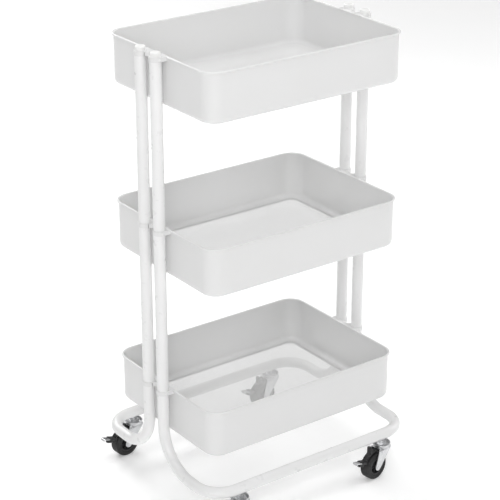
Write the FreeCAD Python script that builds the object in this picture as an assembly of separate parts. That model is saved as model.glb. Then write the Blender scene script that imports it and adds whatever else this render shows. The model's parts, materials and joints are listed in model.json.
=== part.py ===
import FreeCAD, Part
import math
import os

from FreeCAD import Vector

# Three-tier rolling utility cart: sheet-steel trays on a bent-tube frame with four braked swivel casters.
# Millimetres. The origin is on the floor under the middle of the cart, +Z is up, +X runs along the long
# side of the trays and +Y points to the rear.

# ---- driving dimensions ----------------------------------------------------------------------------

# Trays
TRAY_LENGTH = 404.0              # over the rolled rim
TRAY_WIDTH = 303.0
TRAY_HEIGHT = 87.0
TRAY_CORNER_RADIUS = 32.0        # outside the rolled rim
TRAY_BOTTOM_RADIUS = 9.0         # between the walls and the floor, outside
SHEET = 1.0
RIM_RADIUS = 2.1                 # the rolled rim's own radius
RIM_OVERHANG = 3.0               # how far the rim stands out past the walls
TOP_RIM_Z = 818.0
TRAY_PITCH = 296.5
TIER_RIMS = {
    "top": TOP_RIM_Z,
    "middle": TOP_RIM_Z - TRAY_PITCH,
    "bottom": TOP_RIM_Z - 2 * TRAY_PITCH,
}
MESH_TIERS = ("middle", "bottom")
FLOOR_LEDGE = 8.0                # flat ledge around the mesh, inside the bottom radius
MESH_THICKNESS = 0.8
MESH_OVERLAP = 4.0               # how far the mesh sheet lies on the ledge

# Frame tubes
TUBE_RADIUS = 10.0
TUBE_WALL = 1.2
UPRIGHT_X = 214.5
UPRIGHT_Y = 22.0
BASE_TUBE_Z = 80.0               # centre line of the level part of the base tubes
BASE_RUN_Y = 167.5               # centre line of the long front and rear runs
UPRIGHT_BEND = 76.0              # from upright to level leg
CORNER_BEND = 48.0               # from leg to long run
TUBE_JOINT_DROP = 1.5            # the lower tubes end this far below the middle rim
UPPER_TUBE_RISE = 1.0            # the upper tubes end this far above the top rim
SLEEVE_FIT = 0.1                 # radial gap between a tube's bore and what slides into it
CONNECTOR_LENGTH = 80.0
CONNECTOR_WALL = 1.5
CONNECTOR_RADIUS = TUBE_RADIUS - TUBE_WALL - SLEEVE_FIT

# Brackets that carry the trays on the tubes
BRACKET_SHEET = 1.5
BRACKET_HEIGHT = 8.0
LOBE_RADIUS = 11.1
NOTCH_RADIUS = 9.0
BRACKET_HALF_WIDTH = UPRIGHT_Y + LOBE_RADIUS
TUBE_HOLE_CLEARANCE = 0.2

# Rivets that hold the brackets on the tubes
RIVET_RADIUS = 1.6
RIVET_HOLE_CLEARANCE = 0.1
RIVET_HEAD_RADIUS = 2.6
RIVET_HEAD_HEIGHT = 1.0
RIVET_HEAD_ROUNDING = 0.6
RIVET_DROP = 4.6                 # below the rim

# Caps on the upper tubes
CAP_RADIUS = 8.8
CAP_HEIGHT = 6.5
CAP_EDGE_RADIUS = 2.5
CAP_PLUG_LENGTH = 14.0

# Casters: offset is how far the axle trails behind the swivel axis
CASTER_X = 158.0
WHEEL_RADIUS = 25.4
TYRE_WIDTH = 20.0
TYRE_EDGE_RADIUS = 3.5
HUB_RADIUS = 16.5
HUB_WIDTH = 18.0
BOSS_RADIUS = 6.5
BOSS_WIDTH = 21.2
WEB_THICKNESS = 5.0
HUB_RIM_THICKNESS = 3.0
HUB_DRAFT = 0.8                  # taper of the boss and rim ring down to the web
CASTER_OFFSET = 20.8
AXLE_RADIUS = 3.0
AXLE_HEAD_RADIUS = 4.0
AXLE_HEAD_HEIGHT = 1.4
RUNNING_CLEARANCE = 0.08
PRESS_CLEARANCE = 0.02           # holes that grip a pin or a stem
CROWN_Z = 57.0                   # underside of the fork's crown
CROWN_RADIUS = 16.6              # over the flared lip
CROWN_HEIGHT = 7.5
CROWN_FLARE = 1.8
CROWN_LIP_WIDTH = 1.4
FORK_SHEET = 2.0
FORK_GAP = 22.0                  # between the two legs
FORK_LEG_FRONT = -14.5           # the leg's top edge runs from here ...
FORK_LEG_BACK = 18.0             # ... to here, along the trailing direction
FORK_FOOT_RADIUS = 6.8
BALL_RADIUS = 1.5
BALL_RING_RADIUS = 9.4
BALL_COUNT = 14
STEM_RADIUS = 4.5
STEM_HOLE_CLEARANCE = 0.1
STEM_TOP_Z = 87.0
STEM_CHAMFER = 1.5
RACE_Z = 62.3
RACE_RADIUS = 11.6
RACE_THICKNESS = 1.2
COLLAR_RADIUS = 7.3              # over the corners of the hexagon
COLLAR_TOP_Z = 68.0
NECK_RADIUS = 6.1
NECK_TOP_Z = 69.8
KINGPIN_HEAD_RADIUS = 6.5
KINGPIN_HEAD_HEIGHT = 1.9
KINGPIN_CHAMFER = 1.0
PART_GAP = 0.3                   # between faces that move past each other
SOCKET_RADIUS = 6.5
SOCKET_FIT = 0.05

# Brake: a black rocker over the tread with a release horn above the wheel, and a steel strip under it
# that is the brake shoe over the tread and the pedal behind the wheel
BRAKE_PIVOT = (10.5, 53.0)       # along the trailing direction, height
BRAKE_PIN_RADIUS = 1.6
BRAKE_PIN_HEAD_RADIUS = 2.8
BRAKE_PIN_HEAD_HEIGHT = 1.2
BRAKE_BARREL_RADIUS = 3.2
BRAKE_BARREL_WIDTH = 21.2
BRAKE_STRIP_RADIUS = 27.2        # inner radius of the steel strip about the axle
BRAKE_STRIP_THICKNESS = 1.2
BRAKE_STRIP_WIDTH = 9.0
BRAKE_STRIP_DEG = (32.0, 64.0)   # above the axle's level, behind the wheel
BRAKE_BAND_THICKNESS = 1.6
BRAKE_BAND_WIDTH = 11.0
HORN_DEG = 68.0
HORN_TILT_DEG = 92.0
HORN_LENGTH = 13.8
HORN_WIDTH = 10.5
HORN_THICKNESS = 3.0
HORN_END_RADIUS = 2.5
PEDAL_TILT_DEG = 17.0
PEDAL_LENGTH = 27.0
PEDAL_WIDTH = 12.0
PEDAL_LIP = 3.5                  # the pedal's end is bent down by this much
PEDAL_END_RADIUS = 3.0
COLLAR_LENGTH = 6.0              # of the plastic around the pedal's root
COLLAR_WIDTH = 13.6
COLLAR_DEPTH = 2.5
COLLAR_RISE = 1.8
PAD_SPAN = (4.0, 17.0)           # of the plastic block under the pedal, from the pedal's root
PAD_WIDTH = 7.0
PAD_DEPTH = 7.5
PAD_END_RADIUS = 2.0

# Swivel heading of each caster at rest: the direction its wheel trails in, degrees from +X
CASTERS = {
    "front_right": (1, -1, 189.0),
    "front_left": (-1, -1, 187.0),
    "rear_right": (1, 1, 186.0),
    "rear_left": (-1, 1, 184.0),
}

# ---- plain shapes ----------------------------------------------------------------------------------

UP = Vector(0, 0, 1)
ALONG_X = Vector(1, 0, 0)
ALONG_Y = Vector(0, 1, 0)


def save(name, *solids):
    """Write one node: a single solid, or a group of like pieces."""
    shape = solids[0] if len(solids) == 1 else Part.makeCompound(list(solids))
    shape.exportStep("parts/" + name + ".step")


def box(low, high):
    """An axis-aligned block between two corners."""
    size = [b - a for a, b in zip(low, high)]
    return Part.makeBox(size[0], size[1], size[2], Vector(*low))


def rod(radius, start, axis, length):
    return Part.makeCylinder(radius, length, start, axis)


def upright_rod(radius, x, y, low, high):
    return rod(radius, Vector(x, y, low), UP, high - low)


def cross_rod(radius, x, z, half_width):
    """A rod along Y, centred on the caster's middle plane."""
    return rod(radius, Vector(x, -half_width, z), ALONG_Y, 2 * half_width)


def fused(shapes):
    """All the shapes joined into one clean solid."""
    return shapes[0].multiFuse(shapes[1:]).removeSplitter()


def revolved(profile, axis):
    """A full turn of a closed outline of (x, y, z) points about an axis through the origin."""
    wire = Part.makePolygon([Vector(*p) for p in profile + profile[:1]])
    return Part.Face(wire).revolve(Vector(0, 0, 0), axis, 360)


def rounded_rectangle(length, width, radius, z):
    """A closed wire centred on the Z axis."""
    x, y, shift = length / 2, width / 2, radius * (1 - math.sqrt(0.5))
    edges = []
    for sx, sy in ((1, -1), (1, 1), (-1, 1), (-1, -1)):
        along_x = Vector(sx * (x - radius), sy * y, z)
        along_y = Vector(sx * x, sy * (y - radius), z)
        middle = Vector(sx * (x - shift), sy * (y - shift), z)
        ends = [along_x, along_y] if sx * sy < 0 else [along_y, along_x]
        edges.append((ends[0], middle, ends[1]))
    wire = []
    for corner, following in zip(edges, edges[1:] + edges[:1]):
        wire.append(Part.Arc(*corner).toShape())
        wire.append(Part.LineSegment(corner[2], following[0]).toShape())
    return Part.Wire(wire)


def rounded_prism(length, width, radius, low, high):
    face = Part.Face(rounded_rectangle(length, width, radius, low))
    return face.extrude(Vector(0, 0, high - low))


def bottom_edges(solid, z):
    return [e for e in solid.Edges if all(abs(v.Z - z) < 1e-6 for v in e.Vertexes)]


def swept(path, radius):
    """A round bar of this radius along a smooth path."""
    start = path.Edges[0].firstVertex().Point
    tangent = path.Edges[0].tangentAt(path.Edges[0].FirstParameter)
    ring = Part.Wire(Part.makeCircle(radius, start, tangent))
    return path.makePipeShell([ring], True, False)


def filleted_path(points, radii):
    """Straight runs between points, joined by tangent arcs with one radius for each inner point."""
    edges = []
    start = points[0]
    for before, corner, after, radius in zip(points, points[1:], points[2:], radii):
        back = (before - corner).normalize()
        ahead = (after - corner).normalize()
        half_angle = back.getAngle(ahead) / 2
        reach = radius / math.tan(half_angle)
        to_centre = (back + ahead).normalize()
        centre = corner + to_centre * (radius / math.sin(half_angle))
        arc_start, arc_end = corner + back * reach, corner + ahead * reach
        edges.append(Part.LineSegment(start, arc_start).toShape())
        edges.append(Part.Arc(arc_start, centre - to_centre * radius, arc_end).toShape())
        start = arc_end
    edges.append(Part.LineSegment(start, points[-1]).toShape())
    return Part.Wire(edges)


# ---- trays -----------------------------------------------------------------------------------------

WALL_LENGTH = TRAY_LENGTH - 2 * RIM_OVERHANG
WALL_WIDTH = TRAY_WIDTH - 2 * RIM_OVERHANG
WALL_CORNER = TRAY_CORNER_RADIUS - RIM_OVERHANG
WALL_X = WALL_LENGTH / 2


def tray_shell(rim):
    """The pressed pan: walls, bottom radius and a solid floor."""
    floor, top = rim - TRAY_HEIGHT, rim - BRACKET_SHEET
    outer = rounded_prism(WALL_LENGTH, WALL_WIDTH, WALL_CORNER, floor, top)
    outer = outer.makeFillet(TRAY_BOTTOM_RADIUS, bottom_edges(outer, floor))
    inner = rounded_prism(WALL_LENGTH - 2 * SHEET, WALL_WIDTH - 2 * SHEET, WALL_CORNER - SHEET,
                          floor + SHEET, top + SHEET)
    inner = inner.makeFillet(TRAY_BOTTOM_RADIUS - SHEET, bottom_edges(inner, floor + SHEET))
    return outer.cut(inner)


def rolled_rim(rim, side):
    """Half of the rolled rim, on the front (-1) or rear (+1) side, stopping at the brackets."""
    x, y = TRAY_LENGTH / 2 - RIM_RADIUS, side * (TRAY_WIDTH / 2 - RIM_RADIUS)
    z = rim - RIM_RADIUS
    stop = side * BRACKET_HALF_WIDTH
    corners = [(-x, stop), (-x, y), (x, y), (x, stop)]
    radius = TRAY_CORNER_RADIUS - RIM_RADIUS
    return swept(filleted_path([Vector(a, b, z) for a, b in corners], [radius, radius]), RIM_RADIUS)


def floor_opening(rim):
    """The hole in the floor that the mesh covers."""
    margin = 2 * (TRAY_BOTTOM_RADIUS + FLOOR_LEDGE)
    floor = rim - TRAY_HEIGHT
    return rounded_prism(WALL_LENGTH - margin, WALL_WIDTH - margin, WALL_CORNER - margin / 2,
                         floor - SHEET, floor + 2 * SHEET)


def make_tray(tier):
    rim = TIER_RIMS[tier]
    body = fused([tray_shell(rim), rolled_rim(rim, -1), rolled_rim(rim, 1)])
    if tier in MESH_TIERS:
        body = body.cut(floor_opening(rim))
    return body


def make_mesh_floor(tier):
    """The fine mesh sheet lying on the ledge, as a plain sheet without its holes."""
    ledge = TRAY_BOTTOM_RADIUS + FLOOR_LEDGE - MESH_OVERLAP
    low = TIER_RIMS[tier] - TRAY_HEIGHT + SHEET
    return rounded_prism(WALL_LENGTH - 2 * ledge, WALL_WIDTH - 2 * ledge, WALL_CORNER - ledge,
                         low, low + MESH_THICKNESS)


# ---- tray brackets and their rivets ----------------------------------------------------------------

def lobed_prism(sx, inset, low, high):
    """The bracket's outline, two lobes around the tubes with a round notch between them."""
    outer_x = sx * UPRIGHT_X
    inner_x = sx * (WALL_X - 2 * SHEET)
    half = BRACKET_HALF_WIDTH - inset
    web = box((min(outer_x, inner_x), -half, low), (max(outer_x, inner_x), half, high))
    lobes = [upright_rod(LOBE_RADIUS - inset, outer_x, sy * UPRIGHT_Y, low, high) for sy in (-1, 1)]
    notch = upright_rod(NOTCH_RADIUS + inset, outer_x, 0, low - 1, high + 1)
    return fused([web] + lobes).cut(notch)


def make_bracket(sx, tier):
    """A lobed plate welded on the tray's end wall, with a skirt bent down around its edge."""
    rim = TIER_RIMS[tier]
    plate_low = rim - BRACKET_SHEET
    plate = lobed_prism(sx, 0, plate_low, rim)
    skirt = lobed_prism(sx, 0, rim - BRACKET_HEIGHT, plate_low)
    skirt = skirt.cut(lobed_prism(sx, BRACKET_SHEET, rim - BRACKET_HEIGHT - 1, plate_low + 1))
    tray_side = box((-WALL_X, -TRAY_WIDTH, rim - BRACKET_HEIGHT - 1), (WALL_X, TRAY_WIDTH, plate_low))
    bracket = fused([plate, skirt.cut(tray_side)])
    hole_radius = TUBE_RADIUS + TUBE_HOLE_CLEARANCE
    holes = [upright_rod(hole_radius, sx * UPRIGHT_X, sy * UPRIGHT_Y, rim - 2 * BRACKET_HEIGHT, rim + 1)
             for sy in (-1, 1)]
    holes += [rivet_hole(sx, sy, rim) for sy in (-1, 1)]
    return bracket.cut(holes)


def rivet_bar(sx, side, rim, radius, outer):
    """A round bar along Y from a tube's bore to this distance from the tube's axis."""
    bore = TUBE_RADIUS - TUBE_WALL
    start = Vector(sx * UPRIGHT_X, side * (UPRIGHT_Y + bore), rim - RIVET_DROP)
    return rod(radius, start, ALONG_Y * side, outer - bore)


def rivet_hole(sx, side, rim):
    """The hole for a rivet through a bracket's skirt and the wall of its tube."""
    hole = rivet_bar(sx, side, rim, RIVET_RADIUS + RIVET_HOLE_CLEARANCE, LOBE_RADIUS + 1)
    hole.translate(ALONG_Y * side * -TUBE_WALL / 2)
    return hole


def make_rivet(sx, side, rim):
    """A low domed head on the bracket's skirt with its shank through the tube's wall."""
    seat = Vector(sx * UPRIGHT_X, side * (UPRIGHT_Y + LOBE_RADIUS), rim - RIVET_DROP)
    head = rod(RIVET_HEAD_RADIUS, seat, ALONG_Y * side, RIVET_HEAD_HEIGHT)
    crown = max(head.Faces, key=lambda f: side * f.CenterOfMass.y)
    head = head.makeFillet(RIVET_HEAD_ROUNDING, crown.Edges)
    return fused([head, rivet_bar(sx, side, rim, RIVET_RADIUS, LOBE_RADIUS)])


# ---- frame -----------------------------------------------------------------------------------------

TUBE_JOINT_Z = TIER_RIMS["middle"] - TUBE_JOINT_DROP


def base_tube_path(side):
    """Centre line from one lower upright, around the front (-1) or rear (+1) of the base, to the other."""
    x, y, run = UPRIGHT_X, side * UPRIGHT_Y, side * BASE_RUN_Y
    low, high = BASE_TUBE_Z, TUBE_JOINT_Z
    points = [(-x, y, high), (-x, y, low), (-x, run, low), (x, run, low), (x, y, low), (x, y, high)]
    radii = [UPRIGHT_BEND, CORNER_BEND, CORNER_BEND, UPRIGHT_BEND]
    return filleted_path([Vector(*p) for p in points], radii)


def stem_hole(sx, side):
    return upright_rod(STEM_RADIUS + STEM_HOLE_CLEARANCE, sx * CASTER_X, side * BASE_RUN_Y,
                       BASE_TUBE_Z - 2 * TUBE_RADIUS, BASE_TUBE_Z)


def make_base_frame(side):
    path = base_tube_path(side)
    tube = swept(path, TUBE_RADIUS).cut(swept(path, TUBE_RADIUS - TUBE_WALL))
    holes = [stem_hole(sx, side) for sx in (-1, 1)]
    holes += [rivet_hole(sx, side, TIER_RIMS[tier]) for sx in (-1, 1) for tier in MESH_TIERS]
    return tube.cut(holes)


def make_upper_tube(sx, side):
    x, y, top = sx * UPRIGHT_X, side * UPRIGHT_Y, TOP_RIM_Z + UPPER_TUBE_RISE
    tube = upright_rod(TUBE_RADIUS, x, y, TUBE_JOINT_Z, top)
    bore = upright_rod(TUBE_RADIUS - TUBE_WALL, x, y, TUBE_JOINT_Z, top)
    return tube.cut(bore).cut(rivet_hole(sx, side, TOP_RIM_Z))


def make_connector(sx, side):
    """A sleeve inside the joint between a lower and an upper tube."""
    x, y = sx * UPRIGHT_X, side * UPRIGHT_Y
    low, high = TUBE_JOINT_Z - CONNECTOR_LENGTH / 2, TUBE_JOINT_Z + CONNECTOR_LENGTH / 2
    sleeve = upright_rod(CONNECTOR_RADIUS, x, y, low, high)
    return sleeve.cut(upright_rod(CONNECTOR_RADIUS - CONNECTOR_WALL, x, y, low, high))


def make_tube_cap(sx, side):
    x, y, seat = sx * UPRIGHT_X, side * UPRIGHT_Y, TOP_RIM_Z + UPPER_TUBE_RISE
    head = upright_rod(CAP_RADIUS, x, y, seat, seat + CAP_HEIGHT)
    crown = max(head.Faces, key=lambda f: f.CenterOfMass.z)
    head = head.makeFillet(CAP_EDGE_RADIUS, crown.Edges)
    return fused([head, upright_rod(CONNECTOR_RADIUS, x, y, seat - CAP_PLUG_LENGTH, seat)])


def make_stem_socket(sx, side):
    """A sleeve inside the base tube that grips a caster stem."""
    x, y, bore = sx * CASTER_X, side * BASE_RUN_Y, TUBE_RADIUS - TUBE_WALL - SOCKET_FIT
    sleeve = upright_rod(SOCKET_RADIUS, x, y, BASE_TUBE_Z - bore, BASE_TUBE_Z + bore)
    sleeve = sleeve.common(rod(bore, Vector(x - bore, y, BASE_TUBE_Z), ALONG_X, 2 * bore))
    grip = upright_rod(STEM_RADIUS + PRESS_CLEARANCE, x, y, BASE_TUBE_Z - bore, BASE_TUBE_Z + bore)
    return sleeve.cut(grip)


# ---- casters: built at the origin, trailing towards +X, axle along Y --------------------------------

AXLE = Vector(CASTER_OFFSET, 0, WHEEL_RADIUS)
FORK_HALF_WIDTH = FORK_GAP / 2 + FORK_SHEET


def make_stem():
    """The stem with its hexagon collar, the upper race and the kingpin riveted under the fork's crown."""
    head_top = CROWN_Z - PART_GAP
    head_low = head_top - KINGPIN_HEAD_HEIGHT
    race_top = RACE_Z + RACE_THICKNESS
    profile = [
        (0, 0, head_low),
        (KINGPIN_HEAD_RADIUS - KINGPIN_CHAMFER, 0, head_low),
        (KINGPIN_HEAD_RADIUS, 0, head_low + KINGPIN_CHAMFER),
        (KINGPIN_HEAD_RADIUS, 0, head_top),
        (STEM_RADIUS, 0, head_top),
        (STEM_RADIUS, 0, RACE_Z),
        (RACE_RADIUS, 0, RACE_Z),
        (RACE_RADIUS, 0, race_top),
        (NECK_RADIUS, 0, race_top),
        (NECK_RADIUS, 0, NECK_TOP_Z),
        (STEM_RADIUS, 0, NECK_TOP_Z),
        (STEM_RADIUS, 0, STEM_TOP_Z - STEM_CHAMFER),
        (STEM_RADIUS - STEM_CHAMFER, 0, STEM_TOP_Z),
        (0, 0, STEM_TOP_Z),
    ]
    corners = [Vector(COLLAR_RADIUS * math.cos(i * math.pi / 3), COLLAR_RADIUS * math.sin(i * math.pi / 3),
                      race_top) for i in range(7)]
    collar = Part.Face(Part.makePolygon(corners)).extrude(UP * (COLLAR_TOP_Z - race_top))
    return fused([revolved(profile, UP), collar])


def make_bearing_balls():
    """A ring of balls between the fork's crown and the stem's race."""
    balls = []
    for i in range(BALL_COUNT):
        turn = 2 * math.pi * i / BALL_COUNT
        centre = Vector(math.cos(turn), math.sin(turn), 0) * BALL_RING_RADIUS
        centre.z = CROWN_Z + FORK_SHEET + BALL_RADIUS
        balls.append(Part.makeSphere(BALL_RADIUS, centre))
    return balls


def tangent_point(point, centre, radius, side):
    """Where the line from a point touches a circle in the XZ plane, on its left (+1) or right (-1)."""
    dx, dz = point[0] - centre[0], point[1] - centre[1]
    angle = math.atan2(dz, dx) + side * math.acos(radius / math.hypot(dx, dz))
    return centre[0] + radius * math.cos(angle), centre[1] + radius * math.sin(angle)


def fork_leg(y_low):
    """One leg: wide under the crown and narrowing to a round foot about the axle."""
    top = CROWN_Z + FORK_SHEET / 2
    axle = (AXLE.x, AXLE.z)
    front, back = (FORK_LEG_FRONT, top), (FORK_LEG_BACK, top)
    outline = [
        front,
        tangent_point(front, axle, FORK_FOOT_RADIUS, 1),
        (axle[0], axle[1] - FORK_FOOT_RADIUS),
        tangent_point(back, axle, FORK_FOOT_RADIUS, -1),
        back,
    ]
    points = [Vector(x, y_low, z) for x, z in outline]
    edges = [
        Part.LineSegment(points[0], points[1]).toShape(),
        Part.Arc(points[1], points[2], points[3]).toShape(),
        Part.LineSegment(points[3], points[4]).toShape(),
        Part.LineSegment(points[4], points[0]).toShape(),
    ]
    return Part.Face(Part.Wire(edges)).extrude(ALONG_Y * FORK_SHEET)


def make_crown():
    """The dished top of the fork: the floor that the balls run on and a flared lip around it."""
    floor, lip = CROWN_Z + FORK_SHEET, CROWN_Z + CROWN_HEIGHT
    low_radius = CROWN_RADIUS - CROWN_FLARE
    profile = [
        (0, 0, CROWN_Z),
        (low_radius, 0, CROWN_Z),
        (CROWN_RADIUS, 0, lip),
        (CROWN_RADIUS - CROWN_LIP_WIDTH, 0, lip),
        (low_radius - CROWN_LIP_WIDTH, 0, floor),
        (0, 0, floor),
    ]
    return revolved(profile, UP)


def make_fork():
    floor = CROWN_Z + FORK_SHEET
    bridge = box((FORK_LEG_FRONT, -FORK_HALF_WIDTH, CROWN_Z), (FORK_LEG_BACK, FORK_HALF_WIDTH, floor))
    body = fused([make_crown(), bridge, fork_leg(FORK_GAP / 2), fork_leg(-FORK_HALF_WIDTH)])
    holes = [
        upright_rod(STEM_RADIUS + RUNNING_CLEARANCE, 0, 0, CROWN_Z - 1, floor + 1),
        cross_rod(AXLE_RADIUS + PRESS_CLEARANCE, AXLE.x, AXLE.z, FORK_HALF_WIDTH + 1),
        cross_rod(BRAKE_PIN_RADIUS + PRESS_CLEARANCE, *BRAKE_PIVOT, FORK_HALF_WIDTH + 1),
    ]
    return body.cut(holes)


def riveted_pin(radius, head_radius, head_height, x, z):
    """A pin through both fork legs with a rounded head on each outer face."""
    shank = cross_rod(radius, x, z, FORK_HALF_WIDTH)
    heads = []
    for side in (-1, 1):
        head = rod(head_radius, Vector(x, side * FORK_HALF_WIDTH, z), ALONG_Y * side, head_height)
        outer = max(head.Faces, key=lambda f: side * f.CenterOfMass.y)
        heads.append(head.makeFillet(head_height * 0.7, outer.Edges))
    return fused([shank] + heads)


def make_axle():
    return riveted_pin(AXLE_RADIUS, AXLE_HEAD_RADIUS, AXLE_HEAD_HEIGHT, AXLE.x, AXLE.z)


def make_brake_pin():
    return riveted_pin(BRAKE_PIN_RADIUS, BRAKE_PIN_HEAD_RADIUS, BRAKE_PIN_HEAD_HEIGHT, *BRAKE_PIVOT)


def make_hub():
    """The wheel centre: boss, web and rim ring."""
    bore = AXLE_RADIUS + RUNNING_CLEARANCE
    ring = HUB_RADIUS - HUB_RIM_THICKNESS
    half = [
        (bore, BOSS_WIDTH / 2),
        (BOSS_RADIUS, BOSS_WIDTH / 2),
        (BOSS_RADIUS + HUB_DRAFT, WEB_THICKNESS / 2),
        (ring - HUB_DRAFT, WEB_THICKNESS / 2),
        (ring, HUB_WIDTH / 2),
        (HUB_RADIUS, HUB_WIDTH / 2),
    ]
    profile = [(r, y, 0) for r, y in half] + [(r, -y, 0) for r, y in reversed(half)]
    hub = revolved(profile, ALONG_Y)
    hub.translate(AXLE)
    return hub


def make_tyre():
    """A band with rounded shoulders, pressed on the hub."""
    width = TYRE_WIDTH / 2
    tyre = cross_rod(WHEEL_RADIUS, AXLE.x, AXLE.z, width)
    rims = [e for e in tyre.Edges if abs(e.Length - 2 * math.pi * WHEEL_RADIUS) < 1e-3]
    tyre = tyre.makeFillet(TYRE_EDGE_RADIUS, rims)
    return tyre.cut(cross_rod(HUB_RADIUS, AXLE.x, AXLE.z, width + 1))


def about_axle(radius, degrees):
    """A point in the middle plane at this radius and angle from the axle."""
    angle = math.radians(degrees)
    return Vector(AXLE.x + radius * math.cos(angle), 0, AXLE.z + radius * math.sin(angle))


def curved_plate(inner, thickness, start_deg, end_deg, half_width):
    """A plate bent about the axle, between two angles."""
    outer = inner + thickness
    middle = (start_deg + end_deg) / 2
    shift = Vector(0, -half_width, 0)
    inner_points = [about_axle(inner, a) + shift for a in (start_deg, middle, end_deg)]
    outer_points = [about_axle(outer, a) + shift for a in (end_deg, middle, start_deg)]
    edges = [
        Part.Arc(*inner_points).toShape(),
        Part.LineSegment(inner_points[2], outer_points[0]).toShape(),
        Part.Arc(*outer_points).toShape(),
        Part.LineSegment(outer_points[2], inner_points[0]).toShape(),
    ]
    return Part.Face(Part.Wire(edges)).extrude(ALONG_Y * (2 * half_width))


def tilted_plate(root, tilt_deg, length, width, low, high, end_radius):
    """A flat tab from a root point, its far corners rounded; low and high are its faces' heights."""
    half = width / 2
    corner = end_radius * (1 - math.sqrt(0.5))
    flat = [Vector(0, -half, low), Vector(length - end_radius, -half, low)]
    edges = [Part.LineSegment(*flat).toShape()]
    edges.append(Part.Arc(flat[1], Vector(length - corner, corner - half, low),
                          Vector(length, end_radius - half, low)).toShape())
    edges.append(Part.LineSegment(Vector(length, end_radius - half, low),
                                  Vector(length, half - end_radius, low)).toShape())
    edges.append(Part.Arc(Vector(length, half - end_radius, low), Vector(length - corner, half - corner, low),
                          Vector(length - end_radius, half, low)).toShape())
    edges.append(Part.LineSegment(Vector(length - end_radius, half, low), Vector(0, half, low)).toShape())
    edges.append(Part.LineSegment(Vector(0, half, low), flat[0]).toShape())
    tab = Part.Face(Part.Wire(edges)).extrude(Vector(0, 0, high - low))
    tab.rotate(Vector(0, 0, 0), ALONG_Y, -tilt_deg)
    tab.translate(root)
    return tab


BAND_RADIUS = BRAKE_STRIP_RADIUS + BRAKE_STRIP_THICKNESS
HORN_ROOT = about_axle(BAND_RADIUS + BRAKE_BAND_THICKNESS / 2, HORN_DEG)
PEDAL_ROOT = about_axle(BRAKE_STRIP_RADIUS + BRAKE_STRIP_THICKNESS / 2, BRAKE_STRIP_DEG[0])


def along_pedal(distance):
    """A point this far along the pedal's middle line from its root."""
    tilt = math.radians(PEDAL_TILT_DEG)
    return PEDAL_ROOT + Vector(math.cos(tilt), 0, math.sin(tilt)) * distance


def make_brake_pedal():
    """A bent steel strip: the shoe that bears on the tread, and the pedal with its end bent down."""
    half = BRAKE_STRIP_THICKNESS / 2
    shoe = curved_plate(BRAKE_STRIP_RADIUS, BRAKE_STRIP_THICKNESS, *BRAKE_STRIP_DEG, BRAKE_STRIP_WIDTH / 2)
    plate = tilted_plate(PEDAL_ROOT, PEDAL_TILT_DEG, PEDAL_LENGTH, PEDAL_WIDTH, -half, half, half)
    lip = tilted_plate(along_pedal(PEDAL_LENGTH - half), PEDAL_TILT_DEG - 90, PEDAL_LIP, PEDAL_WIDTH,
                       -half, half, PEDAL_END_RADIUS)
    return fused([shoe, plate, lip])


def make_brake_rocker():
    """Black plastic moulded on the strip: barrel on the pin, band, release horn and the pedal's pad."""
    pivot_deg = math.degrees(math.atan2(BRAKE_PIVOT[1] - AXLE.z, BRAKE_PIVOT[0] - AXLE.x))
    half_strip, half_horn = BRAKE_STRIP_THICKNESS / 2, HORN_THICKNESS / 2
    barrel = cross_rod(BRAKE_BARREL_RADIUS, *BRAKE_PIVOT, BRAKE_BARREL_WIDTH / 2)
    band = curved_plate(BAND_RADIUS, BRAKE_BAND_THICKNESS, BRAKE_STRIP_DEG[0], pivot_deg,
                        BRAKE_BAND_WIDTH / 2)
    horn = tilted_plate(HORN_ROOT, HORN_TILT_DEG, HORN_LENGTH, HORN_WIDTH, -half_horn, half_horn,
                        HORN_END_RADIUS)
    collar = tilted_plate(PEDAL_ROOT, PEDAL_TILT_DEG, COLLAR_LENGTH, COLLAR_WIDTH, -COLLAR_DEPTH, COLLAR_RISE,
                          half_strip)
    pad = tilted_plate(along_pedal(PAD_SPAN[0]), PEDAL_TILT_DEG, PAD_SPAN[1] - PAD_SPAN[0], PAD_WIDTH,
                       -PAD_DEPTH, -half_strip, PAD_END_RADIUS)
    pin = cross_rod(BRAKE_PIN_RADIUS + RUNNING_CLEARANCE, *BRAKE_PIVOT, BRAKE_BARREL_WIDTH)
    return fused([barrel, band, horn, collar, pad]).cut([pin, make_brake_pedal()])


def placed(solid, caster):
    """A caster piece turned to its heading and moved under its place on the frame."""
    sx, sy, heading = CASTERS[caster]
    moved = solid.copy()
    moved.rotate(Vector(0, 0, 0), UP, heading)
    moved.translate(Vector(sx * CASTER_X, sy * BASE_RUN_Y, 0))
    return moved


# ---- write every node ------------------------------------------------------------------------------

def write_trays():
    rivets = []
    for tier, rim in TIER_RIMS.items():
        save("tray_" + tier, make_tray(tier))
        for sx, name in ((-1, "left"), (1, "right")):
            save("bracket_" + tier + "_" + name, make_bracket(sx, tier))
            rivets += [make_rivet(sx, side, rim) for side in (-1, 1)]
    for tier in MESH_TIERS:
        save("mesh_floor_" + tier, make_mesh_floor(tier))
    save("bracket_rivets", *rivets)


def write_frame():
    corners = [(sx, side) for sx in (-1, 1) for side in (-1, 1)]
    save("base_frame_front", make_base_frame(-1))
    save("base_frame_rear", make_base_frame(1))
    for sx, side in corners:
        name = ("front" if side < 0 else "rear") + "_" + ("left" if sx < 0 else "right")
        save("upper_tube_" + name, make_upper_tube(sx, side))
    save("tube_connectors", *[make_connector(sx, side) for sx, side in corners])
    save("tube_caps", *[make_tube_cap(sx, side) for sx, side in corners])
    save("stem_sockets", *[make_stem_socket(sx, side) for sx, side in corners])


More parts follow.
